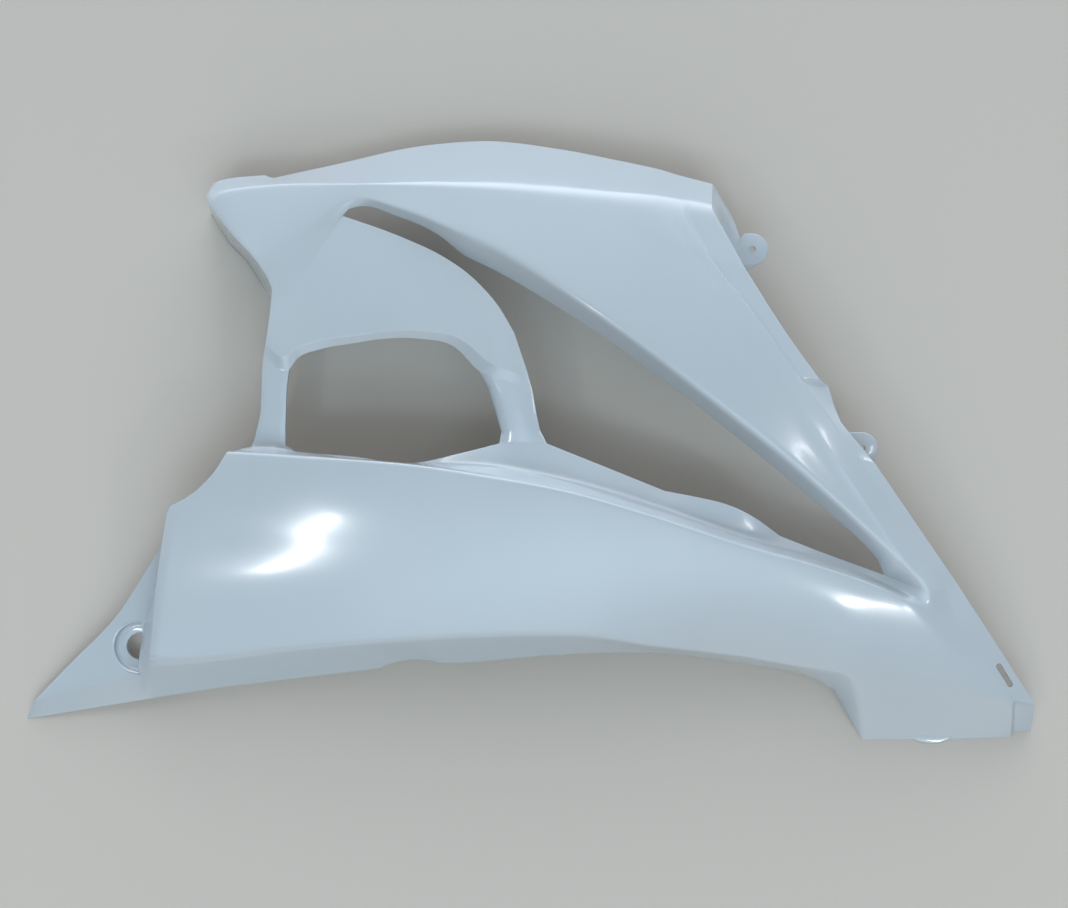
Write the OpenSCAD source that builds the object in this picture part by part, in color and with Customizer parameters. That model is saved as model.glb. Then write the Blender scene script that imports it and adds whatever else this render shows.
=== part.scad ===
// Motorcycle side fairing, one thin moulding, lying on its open side with the painted side up.
// X runs from the tail to the front edge, Y from the belly to the top edge, Z is up. Sizes in mm.

/* [Panel] */

// Length from the tail tip to the front lower corner
panel_l = 909; // [870:1:950]
// Width from the lowest edge to the top edge
panel_w = 536; // [510:1:560]
// Height of the crown of the outer skin above the ground
crown_h = 100; // [90:1:110]
// Wall thickness of the moulding
wall = 3; // [2.2:0.1:3.6]

/* [Shoulder, vent and front strip] */

// Depth of the step below the shoulder line
step_depth = 24; // [18:1:28]
// Depth of the wall that turns down along the vent
return_depth = 30; // [22:1:34]
// Depth of the recessed strip along the front edge
strip_depth = 3.5; // [2:0.5:5]
// Depth of the joggle at the front lower corner
joggle_depth = 5; // [3:0.5:7]

/* [Rear bolt seat] */

// Radius of the bolt hole
bolt_hole_r = 12; // [9:0.5:13]
// Radius of the round seat around the bolt hole
seat_r = 22; // [18:0.5:24]
// Thickness of the seat floor
seat_t = 4; // [3:0.5:6]

/* [Ears and slot] */

// Radius of the round screw ears behind the front edge
ear_r = 14; // [11:0.5:16]
// Thickness of the screw ears
ear_t = 4; // [3:0.5:6]
// Thickness of the tab under the lower front edge
foot_t = 2.5; // [2:0.5:4]
// Radius of the screw holes in the ears and the tab
ear_hole_r = 3; // [2:0.25:4]
// Length of the slot near the front lower corner
slot_l = 26; // [18:1:30]
// Width of the slot near the front lower corner
slot_w = 5; // [3:0.25:6]

/* [Hidden] */

// Scale of the drawn lines in the three directions
kx = panel_l / 909;
ky = panel_w / 536;
kz = crown_h / 100;
// Depths of the step and of the wall along the vent in the drawn lines
drawn_step = 24;
drawn_return = 30;

// Each line holds [station, x, y, height]; a fifth value of 1 marks a corner of the line.
// Stations along a row run from the tail, -3, over the rear edge, 0, to the front edge, 26,
// and on to the foot of the front flange, 27.
belly_edge = [
    [-3, -459, -240, 0],
    [-1, -352, -221, 10],
    [0, -345, -220, 11],
    [1, -299, -212, 15],
    [3, -218, -201, 20],
    [4.8, -138, -191, 24, 1],
    [5.05, -127, -186, 27],
    [5.35, -114, -183, 29],
    [5.9, -95, -183, 29],
    [6.25, -82, -186, 27, 1],
    [7, -57, -185, 27],
    [9, 10, -179, 28],
    [12, 103, -177, 28],
    [15, 188, -187, 23],
    [17, 252, -202, 17],
    [17.6, 269, -212, 13, 1],
    [18.2, 297, -259, 0, 1],
    [20, 354, -259, 0],
    [22, 400, -258, 0],
    [24, 432, -257, 0]];
belly_crease = [
    [-3, -451, -223, 8],
    [-2, -403, -209, 17],
    [-1, -352, -195, 27],
    [0, -337, -182, 46, 1],
    [1, -296, -181, 48],
    [3, -217, -171, 56],
    [5, -142, -164, 63],
    [7, -68, -159, 68],
    [9, -3, -157, 69],
    [11, 57, -159, 67],
    [12, 92, -165, 62],
    [15, 180, -177, 50],
    [17, 240, -188, 45],
    [18.2, 288, -195, 44],
    [20, 336, -199, 41],
    [22, 385, -211, 35],
    [24, 424, -221, 30]];
shoulder = [
    [0, -262, 2, 81],
    [1, -210, -1, 87],
    [3, -160, -4, 92],
    [5, -100, -9, 96],
    [7, -37, -19, 98],
    [9, 19, -29, 99],
    [12, 98, -51, 96],
    [15, 170, -75, 90],
    [18, 244, -96, 81],
    [20, 295, -114, 73],
    [21, 312, -122, 70],
    [22, 328, -130, 67],
    [24, 366, -143, 57]];
ledge_root = [
    [0, -251, 5, 68],
    [1, -214, 3, 65],
    [3, -162, -3, 68],
    [5, -101, -8, 72],
    [7, -37, -10, 75],
    [9, 21, -21, 75],
    [12, 102, -45, 72],
    [15, 176, -70, 68],
    [18, 250, -93, 63],
    [20, 300, -111, 61],
    [21, 316, -118, 60],
    [21.6, 325, -122, 62],
    [22, 331, -124, 66],
    [24, 361, -130, 60]];
ledge_edge = [
    [0, -241, 17, 62],
    [1, -215, 7, 63],
    [1.3, -206, 2, 63, 1],
    [3, -159, -2, 65],
    [5, -98, -7, 68],
    [6, -62, 1, 70],
    [7, -30, 9, 71, 1],
    [8, -11, 10, 74],
    [9, 11, 9, 72, 1],
    [10, 41, -3, 70],
    [12, 113, -32, 67, 1],
    [13.3, 149, -39, 68],
    [14, 165, -43, 69],
    [15, 189, -54, 66],
    [16, 213, -71, 61, 1],
    [18, 257, -88, 58],
    [20, 304, -105, 58, 1],
    [21, 320, -111, 59],
    [21.6, 328, -115, 62],
    [22, 333, -117, 67],
    [24, 356, -116, 63]];
waist_low = [
    [0, -237, 34, 65],
    [1, -215, 25, 66],
    [7, -28, 19, 70],
    [7.4, -24, 19, 74],
    [8, -11, 20, 76],
    [9, 5, 21, 74]];
waist = [
    [0, -235, 52, 66],
    [1, -214, 41, 68],
    [7, -33, 36, 70],
    [7.4, -29, 36, 75],
    [8, -16, 36, 78],
    [9, 2, 35, 76]];
waist_high = [
    [0, -234, 70, 68],
    [1, -213, 58, 69],
    [7, -39, 56, 72],
    [7.4, -34, 54, 77],
    [8, -20, 50, 79],
    [9, 0, 46, 77]];
window_top = [
    [0, -233, 85, 69],
    [1, -211, 73, 69],
    [1.3, -204, 82, 70],
    [2, -184, 90, 71],
    [3, -156, 95, 73],
    [4, -128, 99, 74],
    [5, -100, 99, 75],
    [6, -70, 93, 75],
    [7, -47, 71, 74],
    [7.4, -40, 68, 79],
    [8, -25, 63, 80],
    [9, -2, 56, 78]];
window_crest = [
    [0, -231, 94, 71],
    [1, -212, 84, 74],
    [1.3, -205, 90, 74],
    [2, -185, 97, 75],
    [3, -158, 101, 77],
    [4, -129, 104, 78],
    [5, -99, 105, 80],
    [6, -65, 99, 81],
    [7, -38, 78, 81],
    [7.4, -32, 75, 82],
    [8, -21, 71, 82],
    [9, -5, 68, 79]];
arm_edge = [
    [0, -226, 132, 71.5],
    [1, -208, 141, 72.5],
    [2, -188, 171, 71.5],
    [3, -165, 205, 69, 1],
    [4, -136, 195, 71],
    [5, -108, 184, 72],
    [6, -81, 171, 75],
    [7, -56, 154, 77],
    [8, -33, 130, 78],
    [9, -17, 104, 78]];
vent_edge = [
    [0, -228, 149, 71.5],
    [1, -214, 160, 72],
    [2, -190, 184, 71],
    [3, -160, 211, 69],
    [3.4, -148, 214, 67],
    [4.4, -120, 206, 66],
    [5.7, -84, 190, 66],
    [6.6, -61, 172, 64, 1],
    [9, -19, 151, 63],
    [12, 57, 103, 66],
    [15, 143, 40, 66],
    [18, 237, -36, 61],
    [19, 282, -74, 60],
    [19.5, 297, -90, 59],
    [20, 304, -105, 58]];
blade_crease = [
    [0, -241, 169, 71],
    [1, -223, 177, 71],
    [2, -193, 197, 71],
    [3, -158, 218, 72],
    [4.4, -115, 210, 78],
    [6, -65, 189, 84],
    [9, -12, 162, 90],
    [12, 62, 112, 95],
    [15, 149, 46, 96],
    [18, 241, -27, 87],
    [20, 313, -91, 73],
    [22, 330, -105, 70],
    [24, 346, -97, 68]];
top_crease = [
    [0, -284, 218, 52],
    [0.5, -272, 228, 54],
    [1, -247, 232, 58],
    [1.6, -224, 234, 61],
    [3, -163, 233, 69],
    [6, -89, 232, 75],
    [9, -29, 229, 78],
    [12, 22, 225, 79],
    [15, 65, 221, 79],
    [18, 95, 219, 79],
    [22, 116, 216, 78],
    [24, 127, 213, 78]];
top_edge = [
    [0, -284, 233, 44],
    [0.3, -280, 239, 42],
    [0.6, -269, 242, 42],
    [1.3, -236, 245, 43, 1],
    [1.6, -230, 242, 44, 1],
    [3, -175, 255, 39],
    [5, -118, 269, 35],
    [7, -79, 275, 32],
    [9, -39, 277, 32],
    [12, 23, 269, 36],
    [15, 71, 259, 40],
    [18, 106, 251, 43],
    [22, 128, 244, 46],
    [24, 138, 241, 48]];

// Lines across the rows, each with [row number, x, y, height]
rear_edge = [
    [1, -337, -182, 46],
    [1.75, -322, -83, 67],
    [2, -315, -46, 71, 1],
    [2.33, -293, -34, 75],
    [2.66, -275, -17, 79],
    [3, -262, 2, 81, 1],
    [4, -251, 5, 68],
    [5, -241, 17, 62],
    [5.3, -236, 38, 65],
    [5.6, -235, 60, 67],
    [6, -233, 85, 69],
    [6.25, -231, 94, 71],
    [7, -226, 132, 71.5],
    [8, -228, 149, 71.5],
    [9, -241, 169, 71],
    [10, -258, 187, 65],
    [11, -284, 218, 52, 1],
    [11.5, -287, 226, 47],
    [12, -284, 233, 44]];
wing_edge = [
    [1, -451, -223, 8],
    [1.25, -416, -188, 14],
    [1.5, -370, -142, 24],
    [1.62, -352, -117, 32],
    [1.75, -325, -79, 49]];
wing_foot = [
    [1, -352, -195, 27],
    [1.12, -351, -179, 27],
    [1.25, -348, -163, 27],
    [1.38, -346, -148, 28],
    [1.5, -340, -133, 32],
    [1.62, -335, -112, 38],
    [1.75, -321, -77, 50]];
flange_foot = [
    [7, -228, 134, 59],
    [8, -245, 151, 8],
    [9, -260, 174, 1],
    [10, -277, 192, 1],
    [11, -293, 219, 1]];
strip_line = [
    [9, 346, -97, 68],
    [9.85, 244, 39, 88],
    [10, 228, 59, 89],
    [10.5, 178, 129, 88],
    [10.65, 157, 155, 86],
    [10.8, 138, 180, 84],
    [10.9, 130, 194, 82],
    [10.97, 127, 205, 80],
    [11, 127, 213, 78]];
front_edge = [
    [0, 450, -251, 0],
    [1, 445, -222, 27],
    [2, 409, -172, 45],
    [3, 384, -137, 56, 1],
    [4, 376, -126, 59],
    [5, 368, -114, 61],
    [9, 358, -101, 65, 1],
    [9.55, 291, -8, 82, 1],
    [9.65, 269, 18, 83],
    [9.75, 262, 27, 82, 1],
    [9.88, 257, 41, 78],
    [10, 252, 58, 78, 1],
    [10.05, 243, 64, 84, 1],
    [10.4, 213, 106, 84],
    [10.75, 180, 159, 81, 1],
    [10.9, 161, 197, 76],
    [11, 152, 209, 76, 1],
    [12, 156, 236, 50]];
front_fold = [
    [10.75, 181, 161, 50],
    [10.9, 165, 194, 50],
    [11, 162, 212, 61, 1],
    [12, 159, 233, 46]];
front_flange = [
    [10.75, 185, 167, 47],
    [10.9, 181, 195, 47],
    [11, 171, 213, 46, 1],
    [12, 162, 230, 42]];

rows = [
    [0, belly_edge],
    [1, belly_crease],
    [3, shoulder],
    [4, ledge_root],
    [5, ledge_edge],
    [5.25, waist_low],
    [5.5, waist],
    [5.75, waist_high],
    [6, window_top],
    [6.25, window_crest],
    [7, arm_edge],
    [8, vent_edge],
    [9, blade_crease],
    [11, top_crease],
    [12, top_edge]];

// Stations and row numbers of the grid
us = [-3, -2.5, -2, -1.5, -1, -0.5, 0, 0.5, 1, 1.3, 1.6, 2, 2.5, 3, 3.4, 3.9, 4.4, 4.8,
    5.05, 5.35, 5.7, 6, 6.25, 6.6, 7, 7.4, 8, 8.5, 9, 9.5, 10, 10.5, 11, 11.5, 12,
    12.5, 13, 13.5, 14, 14.5, 15, 15.5, 16, 16.5, 17, 17.3, 17.6, 17.9, 18.2, 18.6, 19,
    19.5, 20, 20.5, 21, 21.6, 22, 22.7, 23.4, 24, 24.6, 25.3, 26,
    26.5, 27];
vs = [0, 0.5, 1, 1.12, 1.25, 1.38, 1.5, 1.62, 1.75, 2, 2.33, 2.66, 3, 4, 5, 5.25, 5.5,
    5.75, 6, 6.25, 6.5, 6.75, 7, 7.5, 8, 8.5, 9, 9.3, 9.55, 9.65, 9.75, 9.88, 10, 10.05,
    10.4, 10.75, 10.82, 10.9, 10.95, 11, 11.33, 11.67, 12];
nu = len(us) - 1;
nv = len(vs) - 1;
i_tip = search(20, us)[0];
j_low = search(5, vs)[0];
j_high = search(8, vs)[0];

// Smooth line through its points, straight up to a marked corner
function lim(a) = min(1, max(0, a));
function seg(t, s, i = 0) = (i >= len(t) - 2 || s <= t[i + 1][0]) ? i : seg(t, s, i + 1);
function xyz(p) = [p[1], p[2], p[3]];
function slope(t, i) = (xyz(t[i + 1]) - xyz(t[i])) / (t[i + 1][0] - t[i][0]);
function bend(t, i, side) =
    i == 0 ? slope(t, 0) :
    i == len(t) - 1 ? slope(t, i - 1) :
    t[i][4] == 1 ? slope(t, i - 1 + side) :
    let (a = t[i][0] - t[i - 1][0], b = t[i + 1][0] - t[i][0])
    (slope(t, i - 1) * b + slope(t, i) * a) / (a + b);
function at(t, s) =
    let (i = seg(t, s), h = t[i + 1][0] - t[i][0], q = lim((s - t[i][0]) / h))
    xyz(t[i]) * (1 + 2 * q) * (1 - q) * (1 - q) + xyz(t[i + 1]) * q * q * (3 - 2 * q)
    + bend(t, i, 1) * h * q * (1 - q) * (1 - q) - bend(t, i + 1, 0) * h * q * q * (1 - q);

// The crown that the broad faces follow
function crown(p) = 100 - pow(p[0] - 20, 2) / 4200 - pow(p[1] - 20, 2) / 2000;
function drop(p) = crown(p) - p[2];

// Point of the skin between two rows; the broad faces bulge to meet the crown between their rows
function between(a, b, q, n) =
    let (m = a * (1 - q) + b * q, d = drop(a) * pow(1 - q, n) + drop(b) * pow(q, n))
    [m[0], m[1], crown(m) - d];
function row_at(v, i = 0) = (i >= len(rows) - 2 || v <= rows[i + 1][0]) ? i : row_at(v, i + 1);
function base(u, v) =
    let (i = row_at(v), a = rows[i], b = rows[i + 1])
    between(at(a[0] == 8 && u > 20 ? ledge_edge : a[1], u), at(b[1], u),
        (v - a[0]) / (b[0] - a[0]), b[0] - a[0] > 1 ? 1.6 : 1);

// How much of the side lines a station takes up
function rear_share(u, v) = pow(lim(1 - u / (v < 3 ? 7 : 2)), 2);
function front_share(u) = lim((u - 15) / 9);
function inner_field(u, v) =
    base(u, v)
    + (v >= 1 ? rear_share(u, v) * (at(rear_edge, v) - base(0, v)) : [0, 0, 0])
    + (v > 9 && v < 11 ? front_share(u) * (at(strip_line, v) - base(24, v)) : [0, 0, 0]);
function joggle(v) =
    v < 1.2 ? [0, joggle_depth / ky * lim((1.2 - v) / 0.6), 0] :
    [0, 0, -strip_depth / kz * lim((v - 9.7) / 0.35) * lim((11 - v) / 0.05)];
function front_field(u, v) =
    let (s = (u - 24) / 2, g = joggle(v))
    inner_field(24, v) * (1 - s) + (at(front_edge, v) - g) * s + g * lim(s / 0.3);

// Flange below the front strip, with a fold half way
function flange_field(u, v) =
    u < 26.5 ? at(front_edge, v) * (53 - 2 * u) + at(front_fold, v) * (2 * u - 52) :
    at(front_fold, v) * (54 - 2 * u) + at(front_flange, v) * (2 * u - 53);

// Wing behind the belly with the rear bolt seat, and the wall up to the belly
function wing_field(u, v) =
    let (s = (u + 3) / 2, w = at(wing_edge, v), f = at(wing_foot, v), q = lim((v - 1) / 0.75))
    w * (1 - s) + f * s
    + (at(belly_crease, u) - at(wing_edge, 1) * (1 - s) - at(wing_foot, 1) * s) * (1 - q);
function rear_field(u, v) =
    v <= 1 ? base(u, v) :
    v > 6 ? at(flange_foot, v) * -u + at(rear_edge, v) * (1 + u) :
    u <= -1 ? wing_field(u, v) :
    at(wing_foot, v) * -u + at(rear_edge, v) * (1 + u);

// Extra depth of the step and of the wall along the vent
function deeper(u, v) =
    v == 4 || v == 5 ? (step_depth - drawn_step * kz) * lim((22 - u) / 8) :
    v == 8 ? (return_depth - drawn_return * kz) * lim((u - 3) / 4) * lim((20 - u) / 3) : 0;
function skin_v(u, v) = (u >= 20 && v > 5 && v <= 8) ? 5 : v;
function skin(u, v) =
    let (w = skin_v(u, v), p = u < 0 ? rear_field(u, w) : u > 26 ? flange_field(u, w) :
        u > 24 ? front_field(u, w) : inner_field(u, w))
    [p[0] * kx, p[1] * ky, p[2] * kz - deeper(u, w)];

// Fields of the grid that hold material: the window, the vent and the space behind are left out
function live(i, j) =
    i < 0 || j < 0 || i >= nu || j >= nv ? false :
    us[i + 1] <= -1 ? vs[j + 1] <= 1.75 :
    us[i + 1] <= 0 ? vs[j + 1] <= 1.75 || (vs[j] >= 7 && vs[j + 1] <= 11) :
    us[i] >= 26 ? vs[j] >= 10.75 :
    vs[j + 1] <= 5 ? true :
    vs[j + 1] <= 6 ? us[i + 1] <= 1 || (us[i] >= 7 && us[i + 1] <= 9) :
    vs[j + 1] <= 7 ? us[i + 1] <= 9 :
    vs[j + 1] <= 8 ? us[i + 1] <= 3 : true;
function below(i, j) = i >= i_tip && j == j_high ? j_low - 1 : j - 1;
function above(i, j) = i >= i_tip && j == j_low - 1 ? j_high : j + 1;
function tip_zone(i, j) = i >= i_tip && j >= j_low && j <= j_high;
function used(i, j) = live(i - 1, j - 1) || live(i, j - 1) || live(i - 1, j) || live(i, j) || tip_zone(i, j);

grid = [for (i = [0:nu]) [for (j = [0:nv]) used(i, j) ? skin(us[i], vs[j]) : skin(13, 2)]];
function unit(a) = norm(a) > 1e-9 ? a / norm(a) : [0, 0, 0];
facing = [for (i = [0:nu - 1]) [for (j = [0:nv - 1])
    live(i, j) ? unit(cross(grid[i + 1][j + 1] - grid[i][j], grid[i][j + 1] - grid[i + 1][j])) : undef]];
function around(i, j) =
    let (a = tip_zone(i, j) ? j_low - 1 : j - 1, b = tip_zone(i, j) ? j_high : j)
    [for (c = [[i - 1, a], [i, a], [i - 1, b], [i, b]]) if (live(c[0], c[1])) facing[c[0]][c[1]]];
function total(l, i = 0) = i >= len(l) ? [0, 0, 0] : l[i] + total(l, i + 1);
function inside(i, j) =
    let (l = around(i, j), n = unit(total(l)), c = len(l) > 0 ? min([for (f = l) f * n]) : 1,
        p = grid[i][j] - n * wall / max(0.55, c))
    [p[0], p[1], max(p[2], 0)];
inner_grid = [for (i = [0:nu]) [for (j = [0:nv]) used(i, j) ? inside(i, j) : skin(13, 2)]];

m = (nu + 1) * (nv + 1);
function id(i, j, k) = k * m + i * (nv + 1) + (tip_zone(i, j) ? j_low : j);
function quad(a, b, c, d) = [[a, b, c], [a, c, d]];
function flip(i, j) =
    norm(grid[i + 1][j + 1] - grid[i][j]) > norm(grid[i][j + 1] - grid[i + 1][j]);
cells = [for (i = [0:nu - 1]) for (j = [0:nv - 1]) if (live(i, j)) [i, j]];
skin_faces = [for (c = cells) let (i = c[0], j = c[1], b = above(i, j),
    p = id(i, j, 0), q = id(i + 1, j, 0), r = id(i + 1, j + 1, 0), s = id(i, j + 1, 0))
    each (flip(i, j) ? quad(s, r, q, p) : quad(p, s, r, q))];
back_faces = [for (c = cells) let (i = c[0], j = c[1],
    p = id(i, j, 1), q = id(i + 1, j, 1), r = id(i + 1, j + 1, 1), s = id(i, j + 1, 1))
    each (flip(i, j) ? quad(q, r, s, p) : quad(p, q, r, s))];
function rim(i, j, k, l) = quad(id(i, j, 0), id(k, l, 0), id(k, l, 1), id(i, j, 1));
rim_faces = [for (c = cells) let (i = c[0], j = c[1]) each concat(
    live(i, below(i, j)) ? [] : rim(i, j, i + 1, j),
    live(i, above(i, j)) ? [] : rim(i + 1, j + 1, i, j + 1),
    live(i - 1, j) ? [] : rim(i, j + 1, i, j),
    live(i + 1, j) ? [] : rim(i + 1, j, i + 1, j + 1))];

module shell() {
    polyhedron(
        concat([for (g = grid) each g], [for (g = inner_grid) each g]),
        concat(skin_faces, back_faces, rim_faces));
}

// Place and floor height of the seat
seat_at = [-352.5, -172, 17];
seat_h = 10;
cup_h = 24;
// Height of the wing over the seat, and its lean towards the tail
wing_z = 25;
wing_lean = atan(0.19 * kz / kx);
// Place and upper face of the ear on the front flange and of the ear behind the front edge
flange_ear = [191, 179, 48];
edge_ear = [286, 5, 52];
// Webs that join the two ears to the panel: their corners on the panel, and their two corners
// on the ear in ear radii
flange_web = [[-7, 14], [-7, -19]];
flange_web_ends = [[10 / 14, -10 / 14], [0, 1]];
edge_web = [[-12, 14], [-25, -5], [-9, -24], [11, -12]];
edge_web_ends = [[1, 0], [0, 1]];
edge_post_at = [264, -9];
edge_post_top = 82;
edge_post_turn = 40;
post_t = 4;
// Screw hole of the foot tab, and the round end of the tab
foot_hole = [360, -242];
foot_r = 36;
foot_depth = 28;
foot_edge = -262;
slot_at = [414.5, -195];
slot_from = 15;
slot_turn = -55;

function place(p, z) = [p[0] * kx, p[1] * ky, z];

module seat_cup() {
    cup_r = seat_r + wall;
    difference() {
        translate(place(seat_at, seat_at[2] * kz - seat_t)) cylinder(r = cup_r, h = cup_h, $fn = 64);
        translate(place(seat_at, wing_z * kz)) rotate([0, -wing_lean, 0])
            translate([-2 * cup_r, -2 * cup_r, 0]) cube([4 * cup_r, 4 * cup_r, cup_h]);
    }
}

// The bore stops below the wall that crosses over the seat
module seat_cut() {
    translate(place(seat_at, seat_at[2] * kz)) cylinder(r = seat_r, h = seat_h, $fn = 64);
    translate(place(seat_at, seat_at[2] * kz - seat_t - 2)) cylinder(r = bolt_hole_r, h = seat_t + 5, $fn = 64);
}

// A round ear with its web
module ear(e, web, ends) {
    translate(place(e, e[2] * kz - ear_t)) {
        cylinder(r = ear_r, h = ear_t, $fn = 48);
        linear_extrude(ear_t) polygon(concat(
            [ends[1] * ear_r], [for (p = web) [p[0] * kx, p[1] * ky]], [ends[0] * ear_r]));
    }
}
module ear_hole(e) {
    translate(place(e, e[2] * kz - ear_t - 3)) cylinder(r = ear_hole_r, h = ear_t + 6, $fn = 32);
}

// Post from the web of the edge ear up to the inner face of the panel
module edge_post() {
    translate(place(edge_post_at, edge_ear[2] * kz - ear_t)) rotate(edge_post_turn)
        cube([post_t, 2 * ear_r - 6, (edge_post_top - edge_ear[2]) * kz + ear_t]);
}

// Tab under the lower front edge
module foot_tab() {
    intersection() {
        translate(place([foot_hole[0], foot_edge], 0) + [0, foot_r, 0])
            cylinder(r = foot_r, h = foot_t, $fn = 96);
        translate(place([foot_hole[0], foot_edge], -1) - [foot_r, 1, 0])
            cube([2 * foot_r, foot_depth + 1, foot_t + 2]);
    }
}

module slot_cut() {
    flat = slot_l - slot_w;
    translate(place(slot_at, slot_from)) rotate(slot_turn) {
        translate([-flat / 2, -slot_w / 2, 0]) cube([flat, slot_w, crown_h]);
        for (side = [-1, 1])
            translate([side * flat / 2, 0, 0]) cylinder(r = slot_w / 2, h = crown_h, $fn = 24);
    }
}

// Moves the middle of the outline box to the origin
middle = [4.57, -7, 0];

module fairing_panel() {
    color([0.93, 0.94, 0.95]) translate([middle[0] * kx, middle[1] * ky, 0]) difference() {
        union() {
            shell();
            seat_cup();
            ear(flange_ear, flange_web, flange_web_ends);
            ear(edge_ear, edge_web, edge_web_ends);
            edge_post();
            foot_tab();
        }
        seat_cut();
        ear_hole(flange_ear);
        ear_hole(edge_ear);
        translate(place(foot_hole, -1)) cylinder(r = ear_hole_r, h = foot_t + 2, $fn = 32);
        slot_cut();
    }
}

fairing_panel();
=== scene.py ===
# Motorcycle fairing side panel: camera, light, fine skin and finish, in metres
import math
import bpy
from mathutils import Matrix, Vector


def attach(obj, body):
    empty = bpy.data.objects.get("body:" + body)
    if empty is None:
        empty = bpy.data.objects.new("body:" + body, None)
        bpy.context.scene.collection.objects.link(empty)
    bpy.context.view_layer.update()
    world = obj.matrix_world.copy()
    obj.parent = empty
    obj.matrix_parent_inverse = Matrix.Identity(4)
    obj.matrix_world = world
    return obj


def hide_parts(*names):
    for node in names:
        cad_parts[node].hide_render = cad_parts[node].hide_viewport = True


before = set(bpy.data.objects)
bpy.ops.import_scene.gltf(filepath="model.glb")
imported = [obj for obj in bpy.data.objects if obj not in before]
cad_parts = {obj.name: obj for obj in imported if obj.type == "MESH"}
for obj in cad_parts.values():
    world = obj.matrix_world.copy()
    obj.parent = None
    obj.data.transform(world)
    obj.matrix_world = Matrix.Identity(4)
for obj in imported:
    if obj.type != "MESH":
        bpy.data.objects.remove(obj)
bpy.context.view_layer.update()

MM = 0.001

# Camera: straight above the middle of the photograph, which lies at MIDDLE of the model in
# millimetres
PHOTO_W = 1068
CAMERA_HEIGHT = 1.4
PIXELS_PER_TANGENT = 1545
SENSOR = 36
MIDDLE = (4.57, -7.0)

# Floor and what the camera sees beyond it; other rays than the camera's and mirrored ones find a
# darker floor, which throws less light back at the panel
FLOOR_REACH = 6
FLOOR_SEEN = (0.60, 0.57, 0.52, 1)
FLOOR_BOUNCE = (0.20, 0.17, 0.145, 1)
BACKDROP = (0.52, 0.53, 0.52, 1)

# Sky: its strength overhead, what it gains towards the sides, how far that leans to the top edge
# side, its colours away from that side and there, and how fast the one turns into the other
SKY_TOP = 0.2
SKY_SIDES = 2.3
SKY_LEAN = 0.16
SKY_WARM = (1.0, 0.93, 0.86, 1)
SKY_COOL = (0.93, 0.985, 1.06, 1)
SKY_TURN = 1.5

# Glow: the broad cool patch of sky that the belly mirrors: its direction, sharpness and colour
GLOW_WAY = (0, -0.53, 0.848)
GLOW_FOCUS = 14.0
GLOW = (1.8, 2.4, 2.85)

# Lamps: the point on the panel where each is mirrored to the camera, its azimuth and elevation
# from there in degrees, its size in metres and its power in watts
LAMP_REACH = 1.6
LAMP_COLOUR = (0.96, 0.985, 1.0)
TUBE_WAY = Vector((0.55, 0.83, 0))
LAMPS = [
    ("lamp_rear", (-0.186, -0.073, 0.09), -131, 60, (0.24, 0.05), 1.7),
    ("lamp_front", (0.262, -0.130, 0.07), -59, 49, (0.16, 0.06), 1.35),
    ("lamp_blade", (0.227, 0.005, 0.085), -4, 66, (0.20, 0.04), 0.5)]

# Finish: the two tints of the moulding, its painted shade in nooks, its specks, and its rubbed
# edges, which are lighter as wear and as a painted highlight
TINT_LOW = (0.49, 0.565, 0.62, 1)
TINT_HIGH = (0.515, 0.585, 0.64, 1)
NOOK_SHADE = (0.27, 0.30, 0.30, 1)
SPECK = (0.34, 0.375, 0.39, 1)
RUBBED_AND_LIT = (0.54, 0.62, 0.67, 1)
NOOK_REACH = 0.03

# Moulding: its wall, the sharpest mitre of the wall at a fold, how deep the strip and the joggle
# lie, the row at which each begins or ends with the rows that its fade takes, and the width of
# their step as a share of the front end
WALL = 3
MITRE = 0.55
STRIP_DEPTH = 3.5
STRIP_START = (9.7, 0.35)
STRIP_END = (11, 0.05)
JOGGLE_DEPTH = 5
JOGGLE_END = (1.2, 0.3)
STEP_WIDTH = 0.15

# The broad faces: top, middle and flatness of the crown, and how strongly a face bulges to it
CROWN_TOP = 100
CROWN_MIDDLE = 20
CROWN_FLAT = (4200, 2000)
BULGE = 1.6

# How many stations the slant of the rear edge reaches inwards, below the shoulder and above it
SLANT_LOW = 7
SLANT_HIGH = 2

# Fittings in millimetres, as in the part's source: (x, y, height), with the webs of the ears
# around their holes and the slot's place, turn, length and width. The seat's rim follows the wing
# by WING_Z and WING_LEAN, and the tab is a little thinner than the source has it
SEAT = (-352.5, -172, 17)
SEAT_R = 22
SEAT_T = 4
BOLT_R = 12
GROOVE = 4
WING_Z = 25.65
WING_LEAN = (0.18, 0.028)
FLANGE_EAR = (191, 179, 48)
FLANGE_WEB = [(0, 14), (-7, 14), (-7, -19), (10, -10)]
EDGE_EAR = (286, 5, 52)
EDGE_WEB = [(0, 14), (-12, 14), (-25, -5), (-9, -24), (11, -12), (14, 0)]
EDGE_POST = (264, -9, 82)
POST_TURN = 40
POST_T = 4
POST_W = 22
EAR_R = 14
EAR_T = 4
EAR_HOLE_R = 3
FOOT_HOLE = (360, -242)
FOOT_R = 36
FOOT_T = 1.4
FOOT_DEPTH = 28
FOOT_EDGE = -262
SLOT = (414.5, -195, -55, 26, 5)
SLOT_CUT = (15, 75)

# Rounding: the rims of the moulding, ears and tab in millimetres, the least angle in degrees that
# a rim is rounded at, and the least angle that is shaded as an edge
RIM_ROUND = 0.9
EAR_ROUND = 0.8
TAB_ROUND = 0.6
RIM_ANGLE = 50
EDGE_ANGLE = 38

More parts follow.
